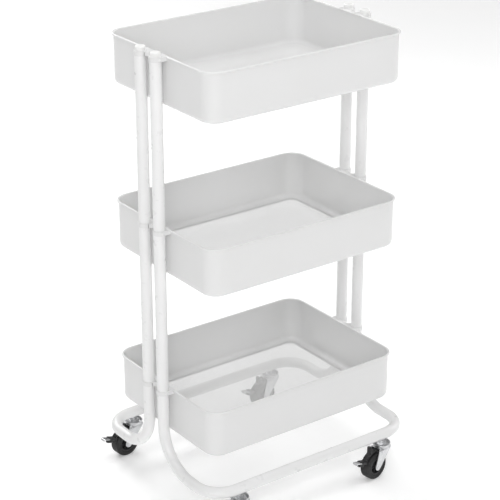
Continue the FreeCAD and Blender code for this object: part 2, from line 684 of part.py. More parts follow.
def write_casters():
    pieces = {
        "stem": [make_stem()],
        "bearing_balls": make_bearing_balls(),
        "fork": [make_fork()],
        "axle": [make_axle()],
        "hub": [make_hub()],
        "tyre": [make_tyre()],
        "brake_pin": [make_brake_pin()],
        "brake_rocker": [make_brake_rocker()],
        "brake_pedal": [make_brake_pedal()],
    }
    for caster in CASTERS:
        for piece, solids in pieces.items():
            save("caster_" + caster + "_" + piece, *[placed(solid, caster) for solid in solids])


os.makedirs("parts", exist_ok=True)
write_trays()
write_frame()
write_casters()
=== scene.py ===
"""Looks of a three-tier rolling utility cart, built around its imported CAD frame.

Metres, in the same frame as the CAD: +Z is up, +X runs along the trays and +Y points to the rear.
"""
import json
import math

import bmesh
import bpy
from mathutils import Matrix, Vector


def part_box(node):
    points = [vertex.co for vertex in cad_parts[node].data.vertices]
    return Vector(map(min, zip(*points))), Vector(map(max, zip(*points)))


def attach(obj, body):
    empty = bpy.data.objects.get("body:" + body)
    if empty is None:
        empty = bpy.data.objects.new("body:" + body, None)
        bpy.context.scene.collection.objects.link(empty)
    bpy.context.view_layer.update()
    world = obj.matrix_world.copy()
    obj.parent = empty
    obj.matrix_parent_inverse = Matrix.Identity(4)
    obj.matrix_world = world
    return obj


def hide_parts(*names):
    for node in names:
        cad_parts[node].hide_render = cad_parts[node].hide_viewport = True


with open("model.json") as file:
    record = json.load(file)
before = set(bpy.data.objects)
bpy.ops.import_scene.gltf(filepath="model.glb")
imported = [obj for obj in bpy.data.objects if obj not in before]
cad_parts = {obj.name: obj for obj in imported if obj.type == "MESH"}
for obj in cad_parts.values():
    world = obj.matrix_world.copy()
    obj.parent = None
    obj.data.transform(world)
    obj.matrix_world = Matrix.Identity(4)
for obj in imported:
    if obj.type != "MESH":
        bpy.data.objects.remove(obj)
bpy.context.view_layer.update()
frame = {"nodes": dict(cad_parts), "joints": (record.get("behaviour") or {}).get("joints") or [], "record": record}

MM = 0.001
TIERS = ("top", "middle", "bottom")
MESH_TIERS = ("middle", "bottom")
SIDES = {"left": -1, "right": 1}
ENDS = {"front": -1, "rear": 1}
CORNERS = [(end, side) for end in ENDS for side in SIDES]
CASTERS = [f"{end}_{side}" for end, side in CORNERS]

# ---- places and sizes read from the frame ------------------------------------------------------------


def rounded_box(node):
    """A node's lowest and highest corners, to a tenth of a millimetre."""
    low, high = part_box(node)
    return Vector([round(v, 4) for v in low]), Vector([round(v, 4) for v in high])


RIMS = {tier: rounded_box("tray_" + tier)[1].z for tier in TIERS}
TRAY_LOW, TRAY_HIGH = rounded_box("tray_top")
TRAY_HEIGHT = TRAY_HIGH.z - TRAY_LOW.z
MESH_HIGH = rounded_box("mesh_floor_bottom")[1]
TUBE_LOW, TUBE_HIGH = rounded_box("upper_tube_rear_right")
TUBE_RADIUS = (TUBE_HIGH.x - TUBE_LOW.x) / 2
UPRIGHT_X = TUBE_HIGH.x - TUBE_RADIUS
UPRIGHT_Y = TUBE_HIGH.y - TUBE_RADIUS
BASE_LOW, BASE_HIGH = rounded_box("base_frame_rear")
BASE_RUN_Y = BASE_HIGH.y - TUBE_RADIUS
BASE_TUBE_Z = BASE_LOW.z + TUBE_RADIUS
CAP_TOP_Z = rounded_box("tube_caps")[1].z
RIVET_TOP_Z = rounded_box("bracket_rivets")[1].z
BRACKET_LOW, BRACKET_HIGH = rounded_box("bracket_top_right")
JOINTS = {joint["name"]: joint for joint in frame["joints"]}

# ---- driving dimensions of the details ---------------------------------------------------------------

TRAY_CORNER = 32 * MM                # outside the rolled rim
TRAY_BEND = 9 * MM                   # outer radius between a tray's walls and its floor
SHEET = 1 * MM
ROLL = 2.1 * MM                      # radius of the rolled rim
RIM_OVERHANG = 3 * MM                # how far the rim stands out past the walls
LEDGE = 8 * MM                       # flat ledge around the mesh, inside the bend
WIRE_PITCH = 2.6 * MM
WIRE_RADIUS = 0.35 * MM
MESH_CORNER = 16 * MM
TUBE_WALL = 1.2 * MM
UPRIGHT_BEND = 76 * MM
CORNER_BEND = 48 * MM
TUBE_EDGE = 0.5 * MM
BRACKET_SHEET = 1.5 * MM
BRACKET_EDGE = 0.7 * MM
BRACKET_CORNER = 2 * MM
SKIRT = 0.8 * MM
LOBE_RADIUS = 11.1 * MM
NOTCH_RADIUS = 9 * MM
TUBE_HOLE = TUBE_RADIUS + 0.2 * MM
CAP_RADIUS = 8.8 * MM
CAP_EDGE = 2.5 * MM
CAP_PLUG = 14 * MM
SLEEVE_FIT = 0.1 * MM
RIVET_HEAD = 2.6 * MM
RIVET_SHANK = 1.6 * MM
RIVET_REACH = 2.2 * MM               # how far the shank goes into the lobe
RIVET_SEAT = 0.35 * MM
RIVET_RISE = 1 * MM

# Casters, in each caster's own frame: X trails from the swivel axis to the axle, Y runs along the axle
WHEEL_RADIUS = 25.4 * MM
TYRE_HALF = 10 * MM
TYRE_SHOULDER = 3.5 * MM
HUB_RADIUS = 16.5 * MM
HUB_HALF = 9 * MM
HUB_RING = 13.5 * MM
BOSS_RADIUS = 6.5 * MM
BOSS_HALF = 10.6 * MM
AXLE_BORE = 3.08 * MM
WEB_HALF = 2.2 * MM
RIB_COUNT = 6
RIB_THICKNESS = 1.5 * MM
CROWN_Z = 57 * MM
CROWN_RADIUS = 16.6 * MM
CROWN_HEIGHT = 7.5 * MM
CROWN_FLARE = 1.8 * MM
CROWN_WALL = 1.4 * MM
CROWN_HOLE = 4.6 * MM
FORK_SHEET = 2 * MM
FORK_HALF = 12 * MM                  # middle of each leg's sheet
FORK_BEND = 4.5 * MM
FORK_FRONT = -14.5 * MM
FORK_BACK = 18 * MM
FORK_PLATE = 14 * MM                 # how far the plate between the legs reaches, both ways
FORK_FOOT = 6.8 * MM
PIVOT = (10.5 * MM, 53 * MM)
BARREL_RADIUS = 3.2 * MM
BARREL_HALF = 10.6 * MM
STRIP_RADIUS = 27.2 * MM
STRIP_SHEET = 1.2 * MM
STRIP_DEG = (32, 64)
SHOE_HALF = 4.5 * MM
PEDAL_HALF = 6 * MM
PEDAL_LENGTH = 27 * MM
PEDAL_TILT = 17
PEDAL_LIP = 3.5 * MM
PEDAL_BEND = 1.2 * MM
PEDAL_CORNER = 2 * MM
BAND_SHEET = 1.6 * MM
BAND_HALF = 5.5 * MM
HORN_DEG = 68
HORN_TILT = 92
HORN_LENGTH = 13.8 * MM
HORN_SIZE = (10.5 * MM, 3 * MM)
HORN_CORNER = 2.5 * MM
RIDGE_COUNT = 4
RIDGE_START = 5 * MM                 # along the horn from its root
RIDGE_PITCH = 1.7 * MM
RIDGE_RADIUS = 0.35 * MM
RIDGE_INSET = 1.6 * MM
COLLAR_SIZE = (14 * MM, 13.6 * MM)
COLLAR_HEIGHTS = (-2.5 * MM, 1.8 * MM)
PAD_START = 4 * MM                   # along the pedal from its root
PAD_SIZE = (13 * MM, 7 * MM)
PAD_DEPTH = 7.5 * MM
PAD_CORNER = 2 * MM
PRESS_EDGE = 0.3 * MM                # how far the edges of pressed steel are eased

# How finely round shapes are cut
TUBE_SIDES = 48
BEND_STEPS = 28
TRAY_CORNER_STEPS = 18
RIM_STEPS = 24
LOBE_STEPS = 20
TYRE_SIDES = 96
HUB_SIDES = 72

# ---- mesh helpers ------------------------------------------------------------------------------------


def skin(bm, rings, loop=False, around=True):
    """Quads between successive rings of points; loop joins the last ring to the first one."""
    rows = [[bm.verts.new(p) for p in ring] for ring in rings]
    following = rows[1:] + rows[:1] if loop else rows[1:]
    for row, after in zip(rows, following):
        count = len(row)
        for i in range(count if around else count - 1):
            j = (i + 1) % count
            bm.faces.new((row[i], row[j], after[j], after[i]))
    return rows


def arc(centre, radius, start_deg, end_deg, steps):
    """Points of an arc in a plane, both ends included."""
    points = []
    for i in range(steps + 1):
        angle = math.radians(start_deg + (end_deg - start_deg) * i / steps)
        points.append((centre[0] + radius * math.cos(angle), centre[1] + radius * math.sin(angle)))
    return points


def lathe(bm, profile, sides, loop=False):
    """A closed outline of (radius, height) points turned about the Z axis."""
    rings = []
    for radius, height in profile:
        ring = []
        for i in range(sides):
            angle = 2 * math.pi * i / sides
            ring.append(Vector((radius * math.cos(angle), radius * math.sin(angle), height)))
        rings.append(ring)
    return skin(bm, rings, loop)


def bent_path(corners, radii, steps):
    """Points along straight runs that tangent arcs join, one radius for each inner corner."""
    points = [corners[0]]
    for before, corner, after, radius in zip(corners, corners[1:], corners[2:], radii):
        back = (before - corner).normalized()
        ahead = (after - corner).normalized()
        half = back.angle(ahead) / 2
        start = corner + back * (radius / math.tan(half))
        centre = corner + (back + ahead).normalized() * (radius / math.sin(half))
        axis = back.cross(ahead)
        sweep = math.pi - 2 * half
        for i in range(steps + 1):
            turn = Matrix.Rotation(-sweep * i / steps, 3, axis)
            points.append(centre + turn @ (start - centre))
    points.append(corners[-1])
    return points


def frames_along(points):
    """A point, a direction and two cross directions at every place of a path, without twist."""
    directions = []
    for i in range(len(points)):
        before, after = points[max(i - 1, 0)], points[min(i + 1, len(points) - 1)]
        directions.append((after - before).normalized())
    across = directions[0].orthogonal().normalized()
    frames = []
    for i, (point, direction) in enumerate(zip(points, directions)):
        if i:
            across = directions[i - 1].rotation_difference(direction) @ across
        frames.append((point, direction, across, direction.cross(across)))
    return frames


def ring_at(place, radius, sides, shift=0.0):
    point, direction, across, up = place
    ring = []
    for i in range(sides):
        angle = 2 * math.pi * i / sides
        ring.append(point + direction * shift + (across * math.cos(angle) + up * math.sin(angle)) * radius)
    return ring


def sweep_tube(bm, points, outer, wall, sides, edge):
    """A tube along a path: outer wall with eased end edges, then the bore, closed at both ends."""
    places = frames_along(points)
    first, last = places[0], places[-1]
    inner = outer - wall
    rings = [ring_at(first, outer - edge, sides), ring_at(first, outer - edge * 0.3, sides, edge * 0.3)]
    rings.append(ring_at(first, outer, sides, edge))
    rings += [ring_at(place, outer, sides) for place in places[1:-1]]
    rings.append(ring_at(last, outer, sides, -edge))
    rings += [ring_at(last, outer - edge * 0.3, sides, -edge * 0.3), ring_at(last, outer - edge, sides)]
    rings += [ring_at(place, inner, sides) for place in reversed(places)]
    skin(bm, rings, loop=True)


def rod(bm, start, end, radius, sides):
    """A plain round bar with flat ends, for wires."""
    rows = skin(bm, [ring_at(place, radius, sides) for place in frames_along([start, end])])
    bm.faces.new(rows[0])
    bm.faces.new(rows[1])


def fill(bm, loops):
    """A flat face between an outer loop of vertices and the loops of its holes."""
    edges = []
    for loop in loops:
        for a, b in zip(loop, loop[1:] + loop[:1]):
            edges.append(bm.edges.get((a, b)) or bm.edges.new((a, b)))
    bmesh.ops.triangle_fill(bm, use_beauty=True, edges=edges)


def join_loops(bm, low, high):
    for i in range(len(low)):
        j = (i + 1) % len(low)
        bm.faces.new((low[i], low[j], high[j], high[i]))


def ease_edges(bm, width, segments=2, angle_deg=30):
    """Round every edge sharper than the angle."""
    limit = math.radians(angle_deg)
    sharp = [e for e in bm.edges if len(e.link_faces) == 2 and e.calc_face_angle(0) > limit]
    bmesh.ops.bevel(bm, geom=sharp, offset=width, segments=segments, profile=0.5, affect="EDGES",
                    clamp_overlap=True)


def mesh_from(bm, name, sharp_deg=40):
    """Close the bmesh into a mesh with smooth curved faces and clean edges."""
    bmesh.ops.remove_doubles(bm, verts=bm.verts, dist=1e-7)
    bmesh.ops.recalc_face_normals(bm, faces=bm.faces)
    mesh = bpy.data.meshes.new(name)
    bm.to_mesh(mesh)
    bm.free()
    mesh.shade_smooth()
    mesh.set_sharp_from_angle(angle=math.radians(sharp_deg))
    return mesh


def piece(name, mesh, slot, body, nodes, place=Matrix.Identity(4)):
    """Put a mesh in the scene as one named piece that stands for its CAD nodes."""
    obj = bpy.data.objects.new(name, mesh)
    bpy.context.scene.collection.objects.link(obj)
    obj.matrix_world = place
    if not mesh.materials:
        mesh.materials.append(MATERIALS[slot])
    weighted = obj.modifiers.new("even_shading", "WEIGHTED_NORMAL")
    weighted.keep_sharp = True
    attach(obj, body)
    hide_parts(*nodes)
    return obj


# ---- materials ---------------------------------------------------------------------------------------


class Finish:
    """A Principled material with the few node shapes that the finishes below share."""

    def __init__(self, name, metallic=0.0, **constants):
        self.material = bpy.data.materials.new(name)
        self.material.use_nodes = True
        self.nodes = self.material.node_tree.nodes
        self.links = self.material.node_tree.links
        self.shader = self.nodes["Principled BSDF"]
        self.shader.inputs["Metallic"].default_value = metallic
        for key, value in constants.items():
            self.shader.inputs[key.replace("_", " ")].default_value = value
        self.place = self.nodes.new("ShaderNodeTexCoord").outputs["Object"]

    def noise(self, scale, detail=3.0, roughness=0.55, stretch=None):
        node = self.nodes.new("ShaderNodeTexNoise")
        node.inputs["Scale"].default_value = scale
        node.inputs["Detail"].default_value = detail
        node.inputs["Roughness"].default_value = roughness
        source = self.place
        if stretch:
            mapping = self.nodes.new("ShaderNodeMapping")
            mapping.inputs["Scale"].default_value = stretch
            self.links.new(source, mapping.inputs["Vector"])
            source = mapping.outputs["Vector"]
        self.links.new(source, node.inputs["Vector"])
        return node.outputs["Fac"]

    def spread(self, source, low, high):
        """Map the middle of a noise to a range of numbers."""
        node = self.nodes.new("ShaderNodeMapRange")
        node.inputs["From Min"].default_value = 0.3
        node.inputs["From Max"].default_value = 0.7
        node.inputs["To Min"].default_value = low
        node.inputs["To Max"].default_value = high
        self.links.new(source, node.inputs["Value"])
        return node.outputs["Result"]

    def colour(self, source, low, high):
        """Base colour between two colours by a noise."""
        node = self.nodes.new("ShaderNodeValToRGB")
        node.color_ramp.elements[0].position = 0.3
        node.color_ramp.elements[1].position = 0.7
        node.color_ramp.elements[0].color = (*low, 1)
        node.color_ramp.elements[1].color = (*high, 1)
        self.links.new(source, node.inputs["Fac"])
        self.links.new(node.outputs["Color"], self.shader.inputs["Base Color"])

    def roughness(self, source, low, high):
        self.links.new(self.spread(source, low, high), self.shader.inputs["Roughness"])

    def glow(self, near, far, near_strength, far_strength):
        """Painted light: let a flat ground glow, though it is no lamp, a little near its middle to pale the
        shadows under the cart, and more with distance from its middle, so that it ends white.
        """
        distance = self.nodes.new("ShaderNodeVectorMath")
        distance.operation = "LENGTH"
        self.links.new(self.place, distance.inputs[0])
        node = self.nodes.new("ShaderNodeMapRange")
        node.interpolation_type = "SMOOTHSTEP"
        node.inputs["From Min"].default_value = near
        node.inputs["From Max"].default_value = far
        node.inputs["To Min"].default_value = near_strength
        node.inputs["To Max"].default_value = far_strength
        self.links.new(distance.outputs["Value"], node.inputs["Value"])
        self.links.new(node.outputs["Result"], self.shader.inputs["Emission Strength"])

    def bumps(self, *layers):
        """Stack height layers, each a (source, depth in metres) pair."""
        normal = None
        for source, depth in layers:
            node = self.nodes.new("ShaderNodeBump")
            node.inputs["Strength"].default_value = 1.0
            node.inputs["Distance"].default_value = depth
            self.links.new(source, node.inputs["Height"])
            if normal:
                self.links.new(normal, node.inputs["Normal"])
            normal = node.outputs["Normal"]
        self.links.new(normal, self.shader.inputs["Normal"])


def powder_coat(name, level, rough_low, rough_high, peel_depth):
    """White powder coat: orange peel about a millimetre across over a finer grain."""
    finish = Finish(name, IOR=1.5, Coat_Weight=0.12, Coat_Roughness=0.25)
    patches = finish.noise(9.0, 4.0)
    finish.colour(patches, (level * 0.985, level * 0.985, level * 0.98), (level, level, level))
    finish.roughness(finish.noise(60.0, 5.0), rough_low, rough_high)
    finish.bumps((finish.noise(650.0, 2.0), peel_depth), (finish.noise(2600.0, 1.0), peel_depth * 0.25))
    return finish.material


def moulded_plastic(name, low, high, rough_low, rough_high):
    finish = Finish(name, IOR=1.48)
    finish.colour(finish.noise(40.0), low, high)
    finish.roughness(finish.noise(220.0, 4.0), rough_low, rough_high)
    finish.bumps((finish.noise(3200.0, 2.0), 0.012 * MM))
    return finish.material


def zinc_plate(name):
    """Bright zinc: faint cloudy colour, brushed roughness and fine press marks."""
    finish = Finish(name, metallic=1.0)
    finish.colour(finish.noise(120.0, 5.0), (0.60, 0.61, 0.62), (0.78, 0.78, 0.79))
    finish.roughness(finish.noise(500.0, 6.0, stretch=(1, 1, 6)), 0.24, 0.46)
    finish.bumps((finish.noise(900.0, 4.0, stretch=(1, 1, 4)), 0.01 * MM))
    return finish.material


def bearing_steel(name):
    finish = Finish(name, metallic=1.0)
    finish.colour(finish.noise(200.0), (0.66, 0.66, 0.68), (0.74, 0.74, 0.76))
    finish.roughness(finish.noise(900.0), 0.08, 0.2)
    finish.bumps((finish.noise(1500.0), 0.003 * MM))
    return finish.material


def rubber(name):
    """Satin black rubber with a little dust in its grain."""
    finish = Finish(name, IOR=1.45)
    finish.colour(finish.noise(90.0, 6.0), (0.010, 0.010, 0.011), (0.026, 0.025, 0.025))
    finish.roughness(finish.noise(400.0, 4.0), 0.5, 0.72)
    finish.bumps((finish.noise(1800.0, 3.0), 0.03 * MM))
    return finish.material


MATERIALS = {
    "white_tray_coat": powder_coat("white_tray_coat", 0.765, 0.28, 0.38, 0.02 * MM),
    "white_tube_coat": powder_coat("white_tube_coat", 0.84, 0.26, 0.36, 0.015 * MM),
    "white_mesh": powder_coat("white_mesh", 0.79, 0.4, 0.5, 0.01 * MM),
    "white_rivets": powder_coat("white_rivets", 0.82, 0.3, 0.42, 0.01 * MM),
    "white_plastic": moulded_plastic("white_plastic", (0.84, 0.84, 0.83), (0.87, 0.87, 0.865), 0.3, 0.42),
    "zinc_steel": zinc_plate("zinc_steel"),
    "bearing_steel": bearing_steel("bearing_steel"),
    "black_plastic": moulded_plastic("black_plastic", (0.014, 0.014, 0.015), (0.026, 0.026, 0.027),
                                     0.35, 0.5),
    "tyre_rubber": rubber("tyre_rubber"),
}

# ---- trays -------------------------------------------------------------------------------------------


def rounded_outline(half_x, half_y, radius, steps, side_breaks=()):
    """Stations around a rounded rectangle, each a point and its outward direction."""
    stations = []
    for quarter, (sx, sy) in enumerate(((1, 1), (-1, 1), (-1, -1), (1, -1))):
        centre = Vector((sx * (half_x - radius), sy * (half_y - radius), 0))
        for i in range(steps + 1):
            angle = math.radians(90 * (quarter + i / steps))
            outward = Vector((math.cos(angle), math.sin(angle), 0))
            stations.append((centre + outward * radius, outward))
        if quarter in (1, 3):
            outward = Vector((sx, 0, 0))
            for y in sorted(side_breaks, reverse=quarter == 1):
                stations.append((Vector((sx * half_x, y, 0)), outward))
    return stations


def tray_profile(rim, covered, open_floor):
    """(inset, height) points of the sheet, from the floor's underside over the rim to its top side."""
    floor = rim - TRAY_HEIGHT
    bend = (RIM_OVERHANG + TRAY_BEND, floor + TRAY_BEND)
    if covered:
        middle = RIM_OVERHANG + SHEET / 2
        rolled = arc((middle, rim - BRACKET_SHEET - SHEET / 2), SHEET / 2, 180, 0, RIM_STEPS)
    else:
        start = math.degrees(math.acos((RIM_OVERHANG - ROLL) / ROLL))
        end = math.degrees(math.acos((RIM_OVERHANG + SHEET - ROLL) / ROLL))
        rolled = arc((ROLL, rim - ROLL), ROLL, -start, -360 - end, RIM_STEPS)
    profile = arc(bend, TRAY_BEND, 270, 180, 8) + rolled + arc(bend, TRAY_BEND - SHEET, 180, 270, 8)
    if open_floor:
        lip = bend[0] + LEDGE
        profile += [(lip, floor + SHEET), (lip, floor)]
    return profile


def make_tray(tier):
    """One pressed shell whose rolled rim gives way to a plain edge under each bracket."""
    rim = RIMS[tier]
    mesh_floor = tier in MESH_TIERS
    edge = BRACKET_HIGH.y
    breaks = (-edge - 0.2 * MM, -edge, 0, edge, edge + 0.2 * MM)
    rings = []
    for point, outward in rounded_outline(TRAY_HIGH.x, TRAY_HIGH.y, TRAY_CORNER, TRAY_CORNER_STEPS, breaks):
        covered = abs(point.y) < edge + 0.1 * MM
        profile = tray_profile(rim, covered, mesh_floor)
        rings.append([point - outward * inset + Vector((0, 0, z)) for inset, z in profile])
    bm = bmesh.new()
    rows = skin(bm, rings, loop=True, around=mesh_floor)
    if not mesh_floor:
        bm.faces.new([row[0] for row in rows])
        bm.faces.new([row[-1] for row in rows])
    mesh = mesh_from(bm, "tray_shell_" + tier)
    piece("tray_shell_" + tier, mesh, "white_tray_coat", "frame", ["tray_" + tier])


def wire_reach(offset, half_along, half_across, radius):
    """Half the length of a wire at this offset inside a rounded rectangle."""
    past = abs(offset) - (half_across - radius)
    if past <= 0:
        return half_along
    return half_along - radius + math.sqrt(max(radius ** 2 - past ** 2, 0))


def make_wire_floor(tier):
    """Two layers of fine wires, welded where they cross, lying on the tray's ledge."""
    low = RIMS[tier] - TRAY_HEIGHT + SHEET
    half = (MESH_HIGH.x, MESH_HIGH.y)
    bm = bmesh.new()
    for axis, height in ((0, WIRE_RADIUS), (1, WIRE_RADIUS * 2.7)):
        along, across = half[axis], half[1 - axis]
        count = int(across / WIRE_PITCH)
        for i in range(-count, count + 1):
            offset = i * WIRE_PITCH
            reach = wire_reach(offset, along, across, MESH_CORNER)
            ends = []
            for sign in (-1, 1):
                flat = (sign * reach, offset) if axis == 0 else (offset, sign * reach)
                ends.append(Vector((*flat, low + height)))
            rod(bm, *ends, WIRE_RADIUS, 6)
    mesh = mesh_from(bm, "wire_floor_" + tier, 70)
    piece("wire_floor_" + tier, mesh, "white_mesh", "frame", ["mesh_floor_" + tier])


# ---- brackets and rivets -----------------------------------------------------------------------------


def bracket_outline(steps):
    """Stations around a right-hand bracket: two lobes about the tubes with a notch between them."""
    inner_x, half_y = BRACKET_LOW.x, BRACKET_HIGH.y
    corner = BRACKET_CORNER
    stations = []

    def turn(centre, radius, start_deg, end_deg, count, hollow=False):
        for x, y in arc(centre, radius, start_deg, end_deg, count):
            outward = Vector((x - centre[0], y - centre[1], 0)).normalized()
            stations.append((Vector((x, y, 0)), -outward if hollow else outward))

    turn((inner_x + corner, corner - half_y), corner, 180, 270, 4)
    stations.append((Vector((inner_x + corner + 0.1 * MM, -half_y, 0)), Vector((0, -1, 0))))
    turn((UPRIGHT_X, -UPRIGHT_Y), LOBE_RADIUS, -90, 90, steps)
    turn((UPRIGHT_X, 0), NOTCH_RADIUS, 270, 90, steps, hollow=True)
    turn((UPRIGHT_X, UPRIGHT_Y), LOBE_RADIUS, -90, 90, steps)
    stations.append((Vector((inner_x + corner + 0.1 * MM, half_y, 0)), Vector((0, 1, 0))))
    turn((inner_x + corner, half_y - corner), corner, 90, 180, 4)
    return stations


def make_bracket(tier, side):
    """A pressed plate with rounded edges, a skirt outside the tray and a hole for each tube."""
    rim = RIMS[tier]
    skirt_low = rim - (BRACKET_HIGH.z - BRACKET_LOW.z)
    under = rim - BRACKET_SHEET
    rings = []
    for point, outward in bracket_outline(LOBE_STEPS):
        skirt = skirt_low if point.x > BRACKET_LOW.x + BRACKET_CORNER + 0.05 * MM else under
        profile = [(SKIRT, under), (SKIRT, skirt), (PRESS_EDGE, skirt)]
        profile += [(0, min(skirt + PRESS_EDGE, under))]
        profile += arc((BRACKET_EDGE, rim - BRACKET_EDGE), BRACKET_EDGE, 180, 90, 5)
        rings.append([point - outward * inset + Vector((0, 0, z)) for inset, z in profile])
    bm = bmesh.new()
    rows = skin(bm, rings, loop=True, around=False)
    low_loops, high_loops = [[row[0] for row in rows]], [[row[-1] for row in rows]]
    for sy in (-1, 1):
        circle = arc((UPRIGHT_X, sy * UPRIGHT_Y), TUBE_HOLE, 0, 352.5, 47)
        low_ring = [bm.verts.new((x, y, under)) for x, y in circle]
        high_ring = [bm.verts.new((x, y, rim)) for x, y in circle]
        join_loops(bm, low_ring, high_ring)
        low_loops.append(low_ring)
        high_loops.append(high_ring)
    fill(bm, low_loops)
    fill(bm, high_loops)
    name = f"bracket_plate_{tier}_{side}"
    mesh = mesh_from(bm, name)
    mesh.transform(Matrix.Diagonal((SIDES[side], 1, 1, 1)))
    if SIDES[side] < 0:
        mesh.flip_normals()
    piece(name, mesh, "white_tray_coat", "frame", [f"bracket_{tier}_{side}"])


def rivet_mesh():
    """A low domed head seated at z = 0 on a curved skirt, with its shank below."""
    bm = bmesh.new()
    profile = [(0, -RIVET_REACH), (RIVET_SHANK, -RIVET_REACH), (RIVET_SHANK, -RIVET_SEAT)]
    profile += [(RIVET_HEAD, -RIVET_SEAT), (RIVET_HEAD, 0.35 * MM), (RIVET_HEAD - 0.15 * MM, 0.6 * MM)]
    profile += [(RIVET_HEAD - 0.5 * MM, 0.82 * MM), (RIVET_HEAD * 0.5, 0.96 * MM), (0, RIVET_RISE)]
    lathe(bm, profile, 32)
    bm.transform(Matrix.Rotation(math.radians(-90), 4, "X"))
    return mesh_from(bm, "rivet")


def place_rivets():
    """One rivet in the outer lobe of each bracket, at every tube and tier."""
    mesh = rivet_mesh()
    drop = RIMS["top"] - (RIVET_TOP_Z - RIVET_HEAD)
    for tier in TIERS:
        for end, side in CORNERS:
            turn = Matrix.Rotation(math.pi if ENDS[end] < 0 else 0, 4, "Z")
            face_y = ENDS[end] * (UPRIGHT_Y + LOBE_RADIUS)
            spot = Vector((SIDES[side] * UPRIGHT_X, face_y, RIMS[tier] - drop))
            piece(f"rivet_{tier}_{end}_{side}", mesh, "white_rivets", "frame", ["bracket_rivets"],
                  Matrix.Translation(spot) @ turn)


# ---- frame tubes -------------------------------------------------------------------------------------


def make_base_tube(end):
    """Lower left upright, base loop and lower right upright in one bent tube."""
    x, near, far = UPRIGHT_X, ENDS[end] * UPRIGHT_Y, ENDS[end] * BASE_RUN_Y
    low, high = BASE_TUBE_Z, BASE_HIGH.z
    left = [Vector((-x, near, high)), Vector((-x, near, low)), Vector((-x, far, low))]
    right = [Vector((x, far, low)), Vector((x, near, low)), Vector((x, near, high))]
    radii = [UPRIGHT_BEND, CORNER_BEND, CORNER_BEND, UPRIGHT_BEND]
    points = bent_path(left + right, radii, BEND_STEPS)
    bm = bmesh.new()
    sweep_tube(bm, points, TUBE_RADIUS, TUBE_WALL, TUBE_SIDES, TUBE_EDGE)
    mesh = mesh_from(bm, "base_tube_" + end)
    piece("base_tube_" + end, mesh, "white_tube_coat", "frame", ["base_frame_" + end])


def make_upper_tube(end, side):
    """A straight upright from the middle tray's joint to just above the top rim."""
    spot = Vector((SIDES[side] * UPRIGHT_X, ENDS[end] * UPRIGHT_Y, 0))
    bm = bmesh.new()
    points = [spot + Vector((0, 0, z)) for z in (TUBE_LOW.z, TUBE_HIGH.z)]
    sweep_tube(bm, points, TUBE_RADIUS, TUBE_WALL, TUBE_SIDES, TUBE_EDGE)
    name = f"upright_{end}_{side}"
    piece(name, mesh_from(bm, name), "white_tube_coat", "frame", [f"upper_tube_{end}_{side}"])


def make_cap(end, side):
    """A moulded cap with a rounded crown, its plug inside the tube."""
    seat, plug = TUBE_HIGH.z, TUBE_RADIUS - TUBE_WALL - SLEEVE_FIT
    profile = [(0, seat - CAP_PLUG), (plug - 0.6 * MM, seat - CAP_PLUG)]
    profile += [(plug, seat - CAP_PLUG + 1 * MM), (plug, seat)]
    profile += [(CAP_RADIUS - 0.3 * MM, seat), (CAP_RADIUS, seat + 0.3 * MM)]
    profile += arc((CAP_RADIUS - CAP_EDGE, CAP_TOP_Z - CAP_EDGE), CAP_EDGE, 0, 84, 7)
    profile += [(3 * MM, CAP_TOP_Z - 0.02 * MM), (0, CAP_TOP_Z)]
    bm = bmesh.new()
    lathe(bm, profile, TUBE_SIDES)
    spot = Matrix.Translation((SIDES[side] * UPRIGHT_X, ENDS[end] * UPRIGHT_Y, 0))
    piece(f"cap_{end}_{side}", mesh_from(bm, "cap"), "white_plastic", "frame", ["tube_caps"], spot)


# ---- casters -----------------------------------------------------------------------------------------


def caster_place(caster):
    """The matrix from a caster's own frame to the cart's, read from its two joints."""
    swivel = Vector(JOINTS[caster + "_swivel_turn"]["pos_m"])
    wheel = Vector(JOINTS[caster + "_wheel_roll"]["pos_m"])
    trail = wheel - swivel
    turn = Matrix.Rotation(math.atan2(trail.y, trail.x), 4, "Z")
    return Matrix.Translation((swivel.x, swivel.y, 0)) @ turn


def caster_axle():
    """The axle's place in the caster's own frame: distance behind the swivel axis and height."""
    swivel = Vector(JOINTS[CASTERS[0] + "_swivel_turn"]["pos_m"])
    wheel = Vector(JOINTS[CASTERS[0] + "_wheel_roll"]["pos_m"])
    return (wheel - swivel).xy.length, wheel.z


AXLE = caster_axle()


def about_axle(radius, degrees):
    """A point this far from the axle, this much above its level behind the wheel."""
    angle = math.radians(degrees)
    return Vector((AXLE[0] + radius * math.cos(angle), 0, AXLE[1] + radius * math.sin(angle)))


def lathe_on_axle(bm, profile, sides):
    """A closed (radius, offset) outline turned about the axle."""
    start = len(bm.verts)
    lathe(bm, profile, sides, loop=True)
    bm.verts.ensure_lookup_table()
    place = Matrix.Translation((AXLE[0], 0, AXLE[1])) @ Matrix.Rotation(math.radians(-90), 4, "X")
    for vert in bm.verts[start:]:
        vert.co = place @ vert.co


def mirrored(half):
    """A closed outline from its half on the +offset side."""
    return half + [(r, -y) for r, y in reversed(half)]


def tyre_mesh():
    """A tyre with round shoulders, a moulding line on the tread and a step in each side wall."""
    bm = bmesh.new()
    half = [(HUB_RADIUS, TYRE_HALF - 1.2 * MM), (HUB_RADIUS + 0.3 * MM, TYRE_HALF - 0.9 * MM)]
    half += [(HUB_RADIUS + 2 * MM, TYRE_HALF - 0.9 * MM), (HUB_RADIUS + 2.6 * MM, TYRE_HALF - 0.1 * MM)]
    half += [(HUB_RADIUS + 3 * MM, TYRE_HALF)]
    centre = (WHEEL_RADIUS - TYRE_SHOULDER, TYRE_HALF - TYRE_SHOULDER)
    half += arc(centre, TYRE_SHOULDER - 0.1 * MM, 90, 0, 9)
    half += [(WHEEL_RADIUS - 0.1 * MM, 0.5 * MM), (WHEEL_RADIUS, 0.2 * MM)]
    lathe_on_axle(bm, mirrored(half), TYRE_SIDES)
    return mesh_from(bm, "tyre", 50)


